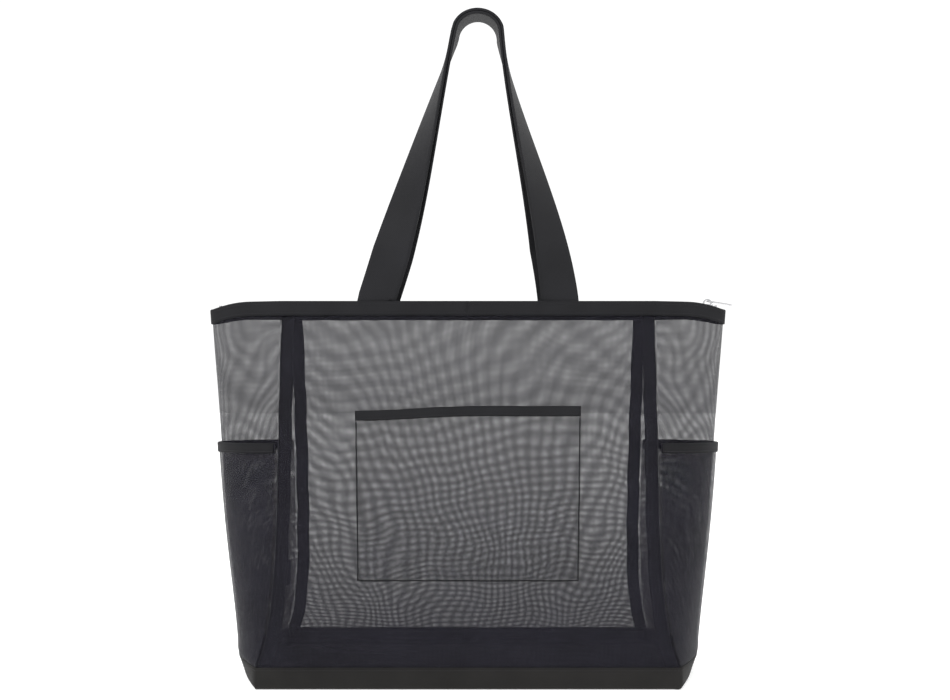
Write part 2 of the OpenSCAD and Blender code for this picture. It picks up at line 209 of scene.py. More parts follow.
def add_weave(ob, values):
    """Stores the cloth's own coordinates, in millimetres, at each vertex."""
    values = np.asarray(values, float).reshape(-1, values.shape[-1])
    if values.shape[1] == 2:
        values = np.concatenate([values, np.zeros((len(values), 1))], 1)
    made = ob.data.attributes.new("weave", "FLOAT_VECTOR", "POINT")
    made.data.foreach_set("vector", values.astype(np.float32).ravel())


def add_bake_map(ob, span):
    """A map of the weave's coordinates, so that a texture's pixels fall in step with the threads."""
    values = np.zeros(len(ob.data.vertices) * 3, np.float32)
    ob.data.attributes["weave"].data.foreach_get("vector", values)
    uv = values.reshape(-1, 3)[:, :2] / span
    loops = np.zeros(len(ob.data.loops), np.int32)
    ob.data.loops.foreach_get("vertex_index", loops)
    layer = ob.data.uv_layers.new(name="OFBake", do_init=False)
    layer.uv.foreach_set("vector", uv[loops].astype(np.float32).ravel())


def grid_faces(rows, cols, flip=False):
    faces = []
    for i in range(rows - 1):
        for j in range(cols - 1):
            a = i * cols + j
            face = (a, a + 1, a + cols + 1, a + cols)
            faces.append(face[::-1] if flip else face)
    return faces


def cloth_sheet(name, points, weave, material, body="bag", flip=False):
    """One layer of cloth, from a grid of points and the same grid of weave coordinates."""
    rows, cols = points.shape[:2]
    ob = make_object(name, points.reshape(-1, 3), grid_faces(rows, cols, flip), material, body)
    add_weave(ob, weave)
    return ob


def sweep(name, rings, material, body="bag"):
    """A closed solid through rings of points. Its weave runs along the sweep, then round the ring."""
    rings = np.asarray(rings, float)
    n, m = rings.shape[:2]
    faces = []
    for i in range(n - 1):
        for j in range(m):
            k = (j + 1) % m
            faces.append((i * m + j, (i + 1) * m + j, (i + 1) * m + k, i * m + k))
    faces.append(tuple(range(m)))
    faces.append(tuple((n - 1) * m + j for j in reversed(range(m))))
    ob = make_object(name, rings.reshape(-1, 3), faces, material, body)
    middle = rings.mean(1)
    along = np.concatenate([[0], np.cumsum(np.linalg.norm(np.diff(middle, axis=0), axis=1))])
    round_steps = np.linalg.norm(np.diff(rings, axis=1), axis=-1)
    around = np.concatenate([np.zeros((n, 1)), np.cumsum(round_steps, axis=1)], 1)
    weave = np.stack([np.broadcast_to(along[:, None], (n, m)), around], -1)
    add_weave(ob, weave)
    recalc(ob)
    return ob


def recalc(ob):
    """Turns every face of a closed mesh outwards."""
    bm = bmesh.new()
    bm.from_mesh(ob.data)
    bmesh.ops.recalc_face_normals(bm, faces=bm.faces)
    bm.to_mesh(ob.data)
    bm.free()


def flat_section(width, thick, n_edge=4, n_flat=8):
    """A tape's cross section with round edges, as (across, through), closed."""
    r = thick / 2
    half = width / 2 - r
    turns = np.linspace(-math.pi / 2, math.pi / 2, n_edge + 1)
    right = [(half + r * math.cos(a), r * math.sin(a)) for a in turns]
    top = [(x, r) for x in np.linspace(half, -half, n_flat + 1)[1:-1]]
    left = [(-x, -y) for x, y in right]
    bottom = [(-x, -y) for x, y in top]
    return np.array(right + top + left + bottom)


# ---- materials ----
class Nodes:
    """A material's node tree, with short calls for the nodes that the cloths share."""

    def __init__(self, name):
        self.material = bpy.data.materials.new(name)
        self.material.use_nodes = True
        self.tree = self.material.node_tree
        self.tree.nodes.clear()
        self.out = self.add("ShaderNodeOutputMaterial")
        self.shader = self.add("ShaderNodeBsdfPrincipled")
        self.link(self.shader.outputs[0], self.out.inputs[0])

    def add(self, kind, **settings):
        node = self.tree.nodes.new(kind)
        for key, value in settings.items():
            setattr(node, key, value)
        return node

    def link(self, a, b):
        self.tree.links.new(a, b)

    def feed(self, node, index, value):
        if isinstance(value, (int, float, tuple)):
            node.inputs[index].default_value = value
        else:
            self.link(value, node.inputs[index])

    def math(self, operation, a, b=0.0, c=0.0):
        node = self.add("ShaderNodeMath", operation=operation)
        for i, value in enumerate((a, b, c)):
            self.feed(node, i, value)
        return node.outputs[0]

    def weave(self):
        """The weave coordinates along and across the cloth, in millimetres."""
        got = self.add("ShaderNodeAttribute", attribute_name="weave")
        split = self.add("ShaderNodeSeparateXYZ")
        self.link(got.outputs["Vector"], split.inputs[0])
        return split.outputs[0], split.outputs[1], got.outputs["Vector"]

    def noise(self, vector, scale, detail=2.0, rough=0.5):
        node = self.add("ShaderNodeTexNoise")
        self.link(vector, node.inputs["Vector"])
        node.inputs["Scale"].default_value = scale
        node.inputs["Detail"].default_value = detail
        node.inputs["Roughness"].default_value = rough
        return node.outputs["Fac"]

    def object_mm(self):
        """The piece's own coordinates in millimetres."""
        at = self.add("ShaderNodeTexCoord")
        scaled = self.add("ShaderNodeVectorMath", operation="SCALE")
        self.link(at.outputs["Object"], scaled.inputs[0])
        scaled.inputs["Scale"].default_value = 1 / MM
        return scaled.outputs[0]

    def wave(self, value, period, shift=0.0):
        """A ridge from 0 to 1 and back over each period."""
        turn = self.math("MULTIPLY_ADD", value, 2 * math.pi / period, shift)
        return self.math("MULTIPLY_ADD", self.math("COSINE", turn), 0.5, 0.5)

    def ramp(self, value, low, high, to_low, to_high):
        node = self.add("ShaderNodeMapRange")
        for i, v in enumerate((value, low, high, to_low, to_high)):
            self.feed(node, i, v)
        return node.outputs[0]

    def mix(self, share, a, b):
        node = self.add("ShaderNodeMix", data_type="RGBA")
        self.feed(node, 0, share)
        self.feed(node, 6, (*a, 1.0) if isinstance(a, tuple) else a)
        self.feed(node, 7, (*b, 1.0) if isinstance(b, tuple) else b)
        return node.outputs[2]

    def bump(self, height, distance, strength=1.0):
        node = self.add("ShaderNodeBump")
        node.inputs["Strength"].default_value = strength
        node.inputs["Distance"].default_value = distance * MM
        self.link(height, node.inputs["Height"])
        self.link(node.outputs[0], self.shader.inputs["Normal"])

    def surface(self, **values):
        for key, value in values.items():
            socket = self.shader.inputs[key.replace("_", " ")]
            if isinstance(value, (int, float)):
                socket.default_value = value
            elif isinstance(value, tuple):
                socket.default_value = (*value, 1.0)
            else:
                self.link(value, socket)


def mesh_cloth(name, over_hole=0.1, over_thread=0.86):
    """Open mesh: a square grid of soft-edged threads, drawn wider low down as painted shade, so that it looks
    darker towards the bottom.
    """
    m = Nodes(name)
    u, v, vector = m.weave()
    drift = m.add("ShaderNodeTexNoise")
    m.link(vector, drift.inputs["Vector"])
    drift.inputs["Scale"].default_value = DRIFT_SCALE
    drift.inputs["Detail"].default_value = 1.0
    parts = m.add("ShaderNodeSeparateColor")
    m.link(drift.outputs["Color"], parts.inputs[0])

    def from_thread(x, off):
        """Distance from the nearest thread's middle, as a share of the period."""
        x = m.math("MULTIPLY_ADD", m.math("SUBTRACT", off, 0.5), THREAD_DRIFT, x)
        turn = m.math("MULTIPLY_ADD", x, 1 / CLOTH_PERIOD, 1 / 3)
        return m.math("ABSOLUTE", m.math("SUBTRACT", m.math("FRACT", turn), 0.5))

    axes = m.add("ShaderNodeSeparateXYZ")
    m.link(m.object_mm(), axes.inputs[0])
    # Painted shade: the threads widen towards the bottom, so the mesh lets less through and darkens there.
    painted_shade_low_down = m.math("POWER", m.ramp(axes.outputs[2], 40.0, 340.0, 1.0, 0.0), 1.2)
    half = m.math("MULTIPLY_ADD", painted_shade_low_down, (SHARE_LOW_PAINTED_SHADE - SHARE_TOP) / 2, SHARE_TOP / 2)

    def let_through(distance):
        past = m.math("SUBTRACT", distance, half)
        edge = m.ramp(past, -THREAD_EDGE, THREAD_EDGE, 0.0, 1.0)
        return m.math("MULTIPLY_ADD", edge, over_thread - over_hole, 1 - over_thread)

    du, dv = from_thread(u, parts.outputs[0]), from_thread(v, parts.outputs[1])
    alpha = m.math("SUBTRACT", 1.0, m.math("MULTIPLY", let_through(du), let_through(dv)))
    crown = m.ramp(m.math("MINIMUM", du, dv), 0.0, SHARE_TOP / 2, 1.0, 0.0)
    worn = m.noise(m.object_mm(), 0.021, 3.0)
    shade = m.math("MULTIPLY", crown, m.ramp(worn, 0.3, 0.7, 0.0, 1.0))
    m.surface(Base_Color=m.mix(shade, (0.006, 0.0056, 0.0095), (0.014, 0.0134, 0.0215)))
    m.surface(Alpha=alpha)
    m.surface(Roughness=m.ramp(crown, 0.0, 1.0, 0.62, 0.42))
    m.surface(Specular_IOR_Level=0.13, Sheen_Weight=0.02, Sheen_Roughness=0.4)
    m.bump(crown, 0.12, 0.5)
    return m.material


def tape_cloth(name, rib=0.62, light=(0.0125, 0.0125, 0.0145), sheen=0.03):
    """Grosgrain tape: ribs across the tape, closed by fine warp threads."""
    m = Nodes(name)
    along, across, vector = m.weave()
    ribs = m.wave(along, rib)
    warp = m.wave(across, 0.34)
    fuzz = m.noise(vector, 2.6, 3.0, 0.7)
    worn = m.noise(m.object_mm(), 0.03, 3.0)
    height = m.math("ADD", m.math("MULTIPLY", ribs, 0.75), m.math("MULTIPLY", warp, 0.25))
    height = m.math("MULTIPLY_ADD", fuzz, 0.3, height)
    tone = m.math("MULTIPLY_ADD", worn, 0.7, m.math("MULTIPLY", ribs, 0.45))
    m.surface(Base_Color=m.mix(m.ramp(tone, 0.2, 1.0, 0.0, 1.0), (0.0048, 0.0048, 0.0055), light))
    m.surface(Roughness=m.ramp(fuzz, 0.3, 0.7, 0.72, 0.58))
    m.surface(Specular_IOR_Level=0.12, Sheen_Weight=sheen, Sheen_Roughness=0.45)
    m.bump(height, 0.12, 0.8)
    return m.material


def webbing_cloth(name):
    """Polypropylene webbing: a flat twill of flat bundles, with a plain edge rib."""
    m = Nodes(name)
    along, across, vector = m.weave()
    bundle = 1.45
    rise = 0.82
    diagonal = m.math("MULTIPLY_ADD", along, bundle / rise, across)
    twill = m.wave(diagonal, 2 * bundle)
    ribs = m.wave(along, rise)
    warps = m.wave(across, bundle)
    fuzz = m.noise(vector, 2.1, 4.0, 0.7)
    worn = m.noise(m.object_mm(), 0.018, 3.0)
    height = m.math("MULTIPLY_ADD", ribs, 0.45, m.math("MULTIPLY", warps, 0.35))
    height = m.math("MULTIPLY_ADD", twill, 0.5, height)
    height = m.math("MULTIPLY_ADD", fuzz, 0.35, height)
    tone = m.math("MULTIPLY_ADD", worn, 0.8, m.math("MULTIPLY", twill, 0.35))
    shade = m.ramp(tone, 0.2, 1.0, 0.0, 1.0)
    m.surface(Base_Color=m.mix(shade, (0.005, 0.005, 0.0058), (0.0125, 0.0125, 0.0148)))
    m.surface(Roughness=m.ramp(fuzz, 0.3, 0.7, 0.64, 0.5))
    m.surface(Specular_IOR_Level=0.14, Sheen_Weight=0.03, Sheen_Roughness=0.4)
    m.bump(height, 0.16, 0.8)
    return m.material


def oxford_cloth(name):
    """Plain-woven base cloth of paired yarns."""
    m = Nodes(name)
    along, across, vector = m.weave()
    yarn = 0.85
    a, b = m.wave(along, yarn), m.wave(across, yarn)
    over = m.wave(along, 2 * yarn)
    under = m.wave(across, 2 * yarn)
    check = m.math("ABSOLUTE", m.math("SUBTRACT", over, under))
    height = m.math("ADD", m.math("MULTIPLY", m.math("MULTIPLY", a, b), 0.6), m.math("MULTIPLY", check, 0.4))
    fuzz = m.noise(vector, 2.4, 4.0, 0.7)
    height = m.math("MULTIPLY_ADD", fuzz, 0.3, height)
    worn = m.noise(m.object_mm(), 0.02, 4.0)
    tone = m.math("MULTIPLY_ADD", worn, 0.8, m.math("MULTIPLY", check, 0.4))
    shade = m.ramp(tone, 0.2, 1.0, 0.0, 1.0)
    m.surface(Base_Color=m.mix(shade, (0.0075, 0.0071, 0.0068), (0.0175, 0.0165, 0.0158)))
    m.surface(Roughness=m.ramp(fuzz, 0.3, 0.7, 0.8, 0.66))
    m.surface(Specular_IOR_Level=0.12, Sheen_Weight=0.04, Sheen_Roughness=0.5)
    m.bump(height, 0.14, 0.9)
    return m.material


def thread_cloth(name, dark=(0.005, 0.005, 0.0058), light=(0.018, 0.018, 0.021)):
    """Sewing thread: two plies twisted together."""
    m = Nodes(name)
    along, across, vector = m.weave()
    twist = m.wave(m.math("MULTIPLY_ADD", along, 1.2, across), 0.42)
    worn = m.noise(m.object_mm(), 0.05, 2.0)
    tone = m.math("MULTIPLY_ADD", worn, 0.5, m.math("MULTIPLY", twist, 0.5))
    m.surface(Base_Color=m.mix(tone, dark, light), Roughness=m.ramp(twist, 0.0, 1.0, 0.6, 0.42))
    m.surface(Specular_IOR_Level=0.22, Sheen_Weight=0.03)
    m.bump(twist, 0.05, 0.7)
    return m.material


def coil_nylon(name):
    """Moulded nylon filament of a coil zip."""
    m = Nodes(name)
    at = m.object_mm()
    marks = m.noise(at, 1.1, 3.0)
    m.surface(Base_Color=m.mix(marks, (0.008, 0.008, 0.009), (0.02, 0.02, 0.023)))
    m.surface(Roughness=m.ramp(marks, 0.3, 0.7, 0.24, 0.38), Specular_IOR_Level=0.5, Coat_Weight=0.15)
    m.bump(marks, 0.03, 0.5)
    return m.material


def bright_metal(name):
    """Nickel-plated cast metal, finely brushed and a little worn."""
    m = Nodes(name)
    at = m.object_mm()
    grain = m.noise(at, 3.0, 4.0, 0.6)
    worn = m.noise(at, 0.35, 3.0)
    m.surface(Base_Color=m.mix(worn, (0.36, 0.36, 0.37), (0.55, 0.55, 0.56)), Metallic=1.0)
    m.surface(Roughness=m.ramp(m.math("ADD", grain, worn), 0.6, 1.4, 0.16, 0.34))
    m.bump(grain, 0.02, 0.5)
    return m.material


mesh_mat = mesh_cloth("mesh")
sheer_mat = mesh_cloth("sheer_mesh", over_hole=0.01, over_thread=0.16)
tape_mat = tape_cloth("binding_tape")
zip_tape_mat = tape_cloth("zip_tape_cloth", rib=0.5, sheen=0.02)
label_mat = tape_cloth("label_satin", rib=0.3, light=(0.02, 0.02, 0.023), sheen=0.08)
web_mat = webbing_cloth("webbing")
base_mat = oxford_cloth("base_oxford")
thread_mat = thread_cloth("thread")
coil_mat = coil_nylon("coil")
metal_mat = bright_metal("zip_metal")


# ---- stitching ----
def stitch_rings(a, b, up, r):
    """One stitch from a to b, sunk at both ends, as rings of a thin tube."""
    run = b - a
    length = np.linalg.norm(run)
    t = run / length
    side = np.cross(t, up)
    side = side / np.linalg.norm(side)
    out = []
    for s, lift, size in ((0, -0.7, 0.5), (0.1, 0.1, 0.9), (0.5, 0.55, 1.0), (0.9, 0.1, 0.9), (1, -0.7, 0.5)):
        c = a + run * s + up * lift * r
        turns = (0.2, 1.45, 2.7, 3.95, 5.2)
        out.append([c + size * r * (math.cos(q) * side + math.sin(q) * up) for q in turns])
    return np.array(out)


def stitching(name, paths, body="bag", pitch=3.1, gap=0.75, r=0.24):
    """Rows of stitches. paths is a list of (points, outward normals) along each row."""
    verts, faces, weave = [], [], []
    for points, normals in paths:
        points, normals = np.asarray(points, float), np.asarray(normals, float)
        steps = np.concatenate([[0], np.cumsum(np.linalg.norm(np.diff(points, axis=0), axis=1))])
        count = max(1, int(round(steps[-1] / pitch)))
        each = steps[-1] / count

        def at(values, s):
            return np.array([np.interp(s, steps, values[:, k]) for k in range(3)])

        for i in range(count):
            up = at(normals, (i + 0.5) * each)
            up = up / np.linalg.norm(up)
            rings = stitch_rings(at(points, i * each + gap / 2), at(points, (i + 1) * each - gap / 2), up, r)
            first = len(verts)
            n, k = rings.shape[:2]
            verts.extend(rings.reshape(-1, 3))
            weave.extend([s * each / (n - 1), q * 0.3] for s in range(n) for q in range(k))
            for s in range(n - 1):
                for q in range(k):
                    w = (q + 1) % k
                    low, high = first + s * k, first + (s + 1) * k
                    faces.append((low + q, low + w, high + w, high + q))
            faces.append(tuple(first + q for q in reversed(range(k))))
            faces.append(tuple(first + (n - 1) * k + q for q in range(k)))
    ob = make_object(name, verts, faces, thread_mat, body)
    add_weave(ob, np.array(weave))
    return ob


# ---- walls ----
def bowed_weave(u, v, seed):
    """Weave coordinates from the cloth's corner. Its threads bow a little across its width."""
    du = 0.9 * np.sin(v / 61 + seed) + 0.5 * np.sin(u / 43 + v / 90 + 2 * seed)
    dv = 1.1 * np.sin(u / 70 + 1.3 * seed) + 0.45 * np.sin(v / 37 - u / 95 + seed)
    weave = np.stack([u + du, v + dv], -1)
    return weave - weave.reshape(-1, 2).min(0)


def wall_panel(name, side, seed):
    cols, rows = 101, 93
    z = np.linspace(WALL_LOW, HEIGHT - CLOTH_DROP, rows)
    zz = np.broadcast_to(z[:, None], (rows, cols))
    xx = half_w(zz) * np.linspace(-1, 1, cols)
    points = wall_at(xx, zz, MESH_T / 2, side)
    ob = cloth_sheet(name, points, bowed_weave(xx, zz, seed), mesh_mat, flip=side > 0)
    add_bake_map(ob, BIG_BAKE)
    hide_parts(name.removesuffix("_cloth"))
    area = float(area_under(2 * half_w(z), z)) * MM * MM
    flat = (float(2 * half_w(z).max()) * MM, float(z[-1] - z[0]) * MM)
    return ob


def gusset_panel(name, side, seed):
    cols, rows = 41, 89
    t = np.linspace(-1, 1, cols)
    share = np.linspace(0, 1, rows)
    high = top_z(t) - CLOTH_DROP
    zz = WALL_LOW + (high - WALL_LOW)[None, :] * share[:, None]
    tt = np.broadcast_to(t[None, :], (rows, cols))
    points = gusset_at(zz, tt, MESH_T / 2, side)
    u = arc_lengths(points, 1)
    weave = bowed_weave(u - u[:, [cols // 2]], zz, seed)
    ob = cloth_sheet(name, points, weave, mesh_mat, flip=side < 0)
    add_bake_map(ob, BIG_BAKE)
    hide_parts(name.removesuffix("_cloth"))
    return ob


wall_panel("front_panel_cloth", -1, 0.4)
wall_panel("back_panel_cloth", 1, 2.1)
gusset_panel("left_gusset_cloth", -1, 3.3)
gusset_panel("right_gusset_cloth", 1, 4.6)


# ---- tape folded over an edge ----
def fold_profile(height, out, inn, n=6, legs=4):
    """A tape folded over an edge, as (height from its top, distance outwards), closed."""
    middle, r = (out + inn) / 2, (out - inn) / 2 + TAPE_T
    top = [(r * math.sin(a) - r, middle + r * math.cos(a)) for a in np.linspace(0, math.pi, n + 1)]
    down = np.linspace(-height, -r, legs + 1)
    outer = [(h, out + TAPE_T) for h in down[:-1]]
    inner = [(h, inn - TAPE_T) for h in down[:-1][::-1]]
    return np.array(outer + top + inner + [(-height, inn), (-r, inn), (-r, out), (-height, out)])


def fold_over(name, stations, at, height, out, inn, node_names, body="bag"):
    """A binding: at(station, height from its top, distance outwards) gives its points."""
    profile = fold_profile(height, out, inn)
    rings = [[at(s, h, d) for h, d in profile] for s in stations]
    ob = sweep(name, rings, tape_mat, body)
    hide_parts(*node_names)
    return ob


def row_along(stations, at, h, d, out=1):
    """A stitch row's points and outward normals, on a surface given by at()."""
    points = np.array([at(s, h, d) for s in stations])
    beyond = np.array([at(s, h, d + out) for s in stations])
    normals = beyond - points
    return points, normals / np.linalg.norm(normals, axis=1)[:, None]


# ---- top hem, in two halves that meet in the middle of each wall ----
def hem_stations():
    flat = half_w(HEIGHT) - 1.5
    front = [("front", x) for x in np.linspace(0, flat, 38)]
    end = [("end", t) for t in np.linspace(-0.985, 0.985, 49)]
    return front + end + [("back", x) for x in np.linspace(flat, 0, 38)]


def hem_at(side):
    def at(station, h, d):
        where, s = station
        if where == "end":
            return gusset_at(top_z(s) + h, s, -d, side)
        return wall_at(side * s, HEIGHT + h, -d, -1 if where == "front" else 1)

    return at


TOP_ROW, LOW_ROW = 3.6, 2.4  # the hem's two stitch rows: below its top, and above its lower edge
for name, side, node in (("left", -1, "back_top_hem"), ("right", 1, "front_top_hem")):
    at, stations = hem_at(side), hem_stations()
    out, inn = HEM_GAP, -MESH_T - HEM_GAP
    fold_over(f"{name}_hem", stations, at, HEM_H, out, inn, [node])
    rows = []
    for h in (-TOP_ROW, LOW_ROW - HEM_H):
        rows.append(row_along(stations, at, h, out + TAPE_T))
        rows.append(row_along(stations, at, h, inn - TAPE_T, -1))
    stitching(f"{name}_hem_stitches", rows)


# ---- pockets ----
def pocket_lift(s, gape, across):
    """Distance of a pocket's inner face from the wall, from s = 0 at its foot to 1 at its mouth."""
    s = np.clip(s, 0, 1)
    return PLAY + (TAPE_T + LAYER) * s + gape * np.sqrt(s) * across


BINDING_H = 10.0
POCKET_GAPE, SIDE_GAPE = 12.0, 9.0
POCKET_DIP = 4.6  # the front pocket's mouth hangs a little at its left end
POCKET_TAPER = 4.5  # how much narrower it is at its foot, each side
pocket_low, pocket_high = box_of("front_pocket")
POCKET_Z, POCKET_TOP, POCKET_HALF = pocket_low[2], pocket_high[2], pocket_high[0]
side_low, side_high = box_of("right_side_pocket")
SIDE_FOOT, SIDE_TOP = side_low[2], side_high[2]


def mouth_z(x):
    return POCKET_TOP - POCKET_DIP * ease((10 - x) / (POCKET_HALF + 10))


def front_lift(z, x):
    s = (z - POCKET_Z) / (POCKET_TOP - POCKET_Z)
    return pocket_lift(s, POCKET_GAPE, 1 - (x / POCKET_HALF) ** 2)


def front_pocket_at(x, z, d):
    """A point of the front pocket, d outside its inner face. x is taken at its mouth's width."""
    s = np.clip((z - POCKET_Z) / (POCKET_TOP - POCKET_Z), 0, 1)
    return wall_at(x * (1 - (1 - s) * POCKET_TAPER / POCKET_HALF), z, -front_lift(z, x) - d, -1)


def side_lift(z, t):
    across = 6.75 * np.square(t) * (1 - np.abs(t))
    return pocket_lift((z - SIDE_FOOT) / (SIDE_TOP - SIDE_FOOT), SIDE_GAPE, across)


def side_pocket_at(z, t, d, side):
    return gusset_at(z, t, -side_lift(z, t) - d, side)


def front_pocket():
    cols, rows = 77, 64
    x = np.linspace(-POCKET_HALF, POCKET_HALF, cols)
    share = np.linspace(0, 1, rows) ** 1.6
    xx = np.broadcast_to(x[None, :], (rows, cols))
    zz = POCKET_Z + (mouth_z(x) - 0.3 - POCKET_Z)[None, :] * share[:, None]
    points = front_pocket_at(xx, zz, MESH_T / 2)
    ob = cloth_sheet("front_pocket_cloth", points, bowed_weave(xx, zz, 5.2), sheer_mat)
    add_bake_map(ob, SMALL_BAKE)
    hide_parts("front_pocket")
    stations = np.linspace(-POCKET_HALF, POCKET_HALF, 61)

    def mouth(x, h, d):
        return front_pocket_at(x, mouth_z(x) + LAYER + TAPE_T + h, d)

    out, inn = MESH_T + LAYER, -LAYER
    fold_over("front_pocket_binding_tape", stations, mouth, BINDING_H, out, inn, ["front_pocket_binding"])
    rows = [row_along(stations, mouth, 1.9 - BINDING_H, out + TAPE_T)]
    rows.append(row_along(stations, mouth, 1.9 - BINDING_H, inn - TAPE_T, -1))
    edge = [("side", -1, z) for z in np.linspace(mouth_z(-POCKET_HALF) - BINDING_H, POCKET_Z, 40)]
    edge += [("foot", x, 0) for x in np.linspace(-POCKET_HALF, POCKET_HALF, 50)]
    edge += [("side", 1, z) for z in np.linspace(POCKET_Z, POCKET_TOP - BINDING_H, 40)]

    def border(inset):
        def at(station, h, d):
            where, a, b = station
            reach = POCKET_HALF - inset
            if where == "side":
                return front_pocket_at(a * reach, max(b, POCKET_Z + inset), MESH_T + d)
            return front_pocket_at(np.clip(a, -reach, reach), POCKET_Z + inset, MESH_T + d)

        return at

    profile = flat_section(1.5, 0.4, 3, 2)
    rings = [[border(0.75 - a)(s, 0, b - 0.05) for a, b in profile] for s in edge]
    hem = sweep("front_pocket_turned_edge", rings, tape_mat)
    rows.append(row_along(edge, border(0.75), 0, 0.15))
    stitching("front_pocket_stitches", rows)


def side_pocket(name, side, seed):
    cols, rows = 49, 60
    t = np.linspace(-0.995, 0.995, cols)
    z = SIDE_FOOT + (SIDE_TOP - 0.3 - SIDE_FOOT) * np.linspace(0, 1, rows) ** 1.5
    zz, tt = np.meshgrid(z, t, indexing="ij")
    points = side_pocket_at(zz, tt, MESH_T / 2, side)
    u = arc_lengths(points, 1)
    weave = bowed_weave(u - u[:, [cols // 2]], zz, seed)
    ob = cloth_sheet(f"{name}_side_pocket_cloth", points, weave, mesh_mat, flip=side < 0)
    add_bake_map(ob, SMALL_BAKE)
    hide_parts(f"{name}_side_pocket")

    def mouth(t, h, d):
        return side_pocket_at(SIDE_TOP + LAYER + TAPE_T + h, t, d, side)

    stations = np.linspace(-SEAM_STEP, SEAM_STEP, 57)
    out, inn = MESH_T + LAYER, -LAYER
    fold_over(f"{name}_pocket_binding_tape", stations, mouth, BINDING_H, out, inn, [f"{name}_pocket_binding"])
    rows = [row_along(stations, mouth, 1.9 - BINDING_H, out + TAPE_T)]
    rows.append(row_along(stations, mouth, 1.9 - BINDING_H, inn - TAPE_T, -1))
    stitching(f"{name}_pocket_stitches", rows)


front_pocket()
side_pocket("left", -1, 6.1)
side_pocket("right", 1, 7.4)


# ---- seam bindings inside the bag ----
def upright_seam(wall, hand, side, x_side):
    node = f"{wall}_{hand}_seam"
    low, high = box_of(node)
    seam_w = 13.0
    zs = np.linspace(low[2], high[2], 90)

    def at(z, a, d):
        x = half_w(z) - 1 - seam_w / 2 + a + 0.35 * math.sin(z / 9 + x_side + side)
        return wall_at(x_side * x, z, INNER + SEAM_T / 2 - d, side)

    rings = [[at(z, a, b) for a, b in flat_section(seam_w, SEAM_T, 4, 6)] for z in zs]
    ob = sweep(f"{node}_binding", rings, tape_mat)
    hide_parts(node)
    row = 2.2 - seam_w / 2
    rows = [row_along(zs, at, row, -SEAM_T / 2, -1), row_along(zs, at, row, SEAM_T / 2)]
    stitching(f"{node}_stitches", rows)
    line = np.linspace(RIM_H + 1, HEIGHT - HEM_H - 1, 60)
    outside = [wall_at(x_side * (half_w(z) - 1.6), z, MESH_T / 2 - 0.25, side) for z in line]
    return outside, [(0, side, 0)] * len(line)


seam_rows = [upright_seam(wall, hand, side, x_side)
    for wall, side in (("front", -1), ("back", 1)) for hand, x_side in (("left", -1), ("right", 1))]
stitching("upright_seam_line", seam_rows, r=0.2)


def base_seam(name, at, stations, high):
    node = f"{name}_base_seam"
    rings = [[at(s, a, b) for a, b in flat_section(high, SEAM_T, 4, 5)] for s in stations]
    ob = sweep(f"{node}_binding", rings, tape_mat)
    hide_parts(node)
    return row_along(stations, at, 2.0, -SEAM_T / 2, -1)


seam_low, seam_high = box_of("front_base_seam")
SEAM_MID, SEAM_TALL = (seam_low[2] + seam_high[2]) / 2, seam_high[2] - seam_low[2]
rows = []
for name, side in (("front", -1), ("back", 1)):
    def long_at(x, a, d, side=side):
        return wall_at(x, SEAM_MID + a, INNER + SEAM_T / 2 - d, side)

    rows.append(base_seam(name, long_at, np.linspace(seam_low[0], seam_high[0], 80), SEAM_TALL))
for name, side in (("left", -1), ("right", 1)):
    def short_at(t, a, d, side=side):
        return gusset_at(SEAM_MID + a, t, INNER + SEAM_T / 2 - d, side)

    rows.append(base_seam(name, short_at, np.linspace(-0.79, 0.79, 40), SEAM_TALL))
stitching("base_seam_stitches", rows)


# ---- base ----
def outline_stations():
    wall = np.linspace(-1, 1, 61)[:-1]
    end = np.linspace(-1, 1, 33)[:-1]
    return [("front", v) for v in wall] + [("right", v) for v in end] + [("back", -v) for v in wall] + [
        ("left", -v) for v in end]


def outline_at(station, z, d):
    """A point of the rim, d outside the mesh's outer face."""
    where, v = station
    if where in ("front", "back"):
        return wall_at(v * half_w(z), z, -d, -1 if where == "front" else 1)
    return gusset_at(z, v, -d, 1 if where == "right" else -1)


